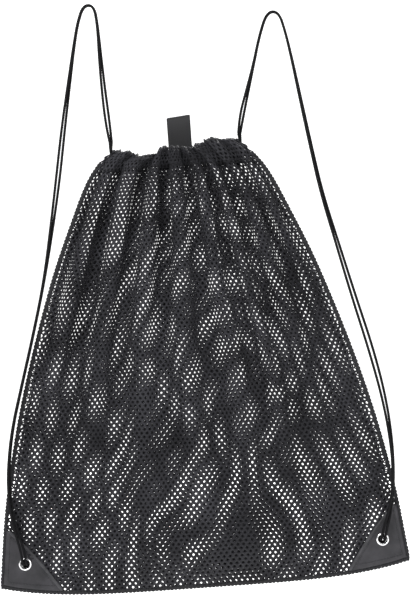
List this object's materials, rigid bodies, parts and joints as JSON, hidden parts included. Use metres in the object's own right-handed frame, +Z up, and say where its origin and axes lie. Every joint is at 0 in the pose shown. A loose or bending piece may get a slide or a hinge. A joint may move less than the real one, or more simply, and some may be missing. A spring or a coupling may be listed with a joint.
{
  "type": "drawstring backpack",
  "caption": "Soft mesh sack with a drawn-in neck, cord shoulder straps over two hooks, reinforced bottom corners with eyelets, and a webbing hang tab.",
  "frame": {"origin": "midway between the two hooks that hold the straps up", "axes": "+Z up, +X to the right seen from the strap side, +Y from the strap side towards the back"},
  "size_m": [0.4551, 0.093, 0.655],
  "materials": {
    "mesh": "open warp-knit mesh, slight sheen",
    "hem": "open mesh, folded double",
    "seam": "overlocked binding",
    "patch": "fine-grained synthetic leather, satin",
    "eyelet": "bright nickel plate",
    "cord": "braided polyester",
    "webbing": "woven ribbed tape"
  },
  "bodies": {
    "bag": {"front_panel": "mesh", "back_panel": "mesh", "front_hem": "hem", "back_hem": "hem", "left_side_seam": "seam", "right_side_seam": "seam", "bottom_seam": "seam", "left_front_patch": "patch", "right_front_patch": "patch", "left_back_patch": "patch", "right_back_patch": "patch", "left_eyelet": "eyelet", "right_eyelet": "eyelet", "left_washer": "eyelet", "right_washer": "eyelet", "left_knot": "cord", "right_knot": "cord", "left_hem_cord": "cord", "right_hem_cord": "cord", "tab_tail": "webbing"},
    "left_strap": {"left_strap_front_strand": "cord", "left_strap_back_strand": "cord"},
    "right_strap": {"right_strap_front_strand": "cord", "right_strap_back_strand": "cord"},
    "hang_tab": {"tab_loop": "webbing"}
  },
  "joints": [
    {"name": "left_strap_swing", "type": "hinge", "parent": "bag", "child": "left_strap", "pos_m": [-0.0782, 0, -0.1491], "axis": [0.199, 0.0126, 0.9799], "range_deg": [0, 35]},
    {"name": "right_strap_swing", "type": "hinge", "parent": "bag", "child": "right_strap", "pos_m": [0.0644, 0, -0.1391], "axis": [0.3334, -0.0126, -0.9427], "range_deg": [0, 35]},
    {"name": "tab_flip", "type": "hinge", "parent": "bag", "child": "hang_tab", "pos_m": [-0.00165, 0.0262, -0.14765], "axis": [0.9976, 0, 0.0698], "range_deg": [-100, 40], "stiffness_Nm_per_rad": 0.004}
  ]
}
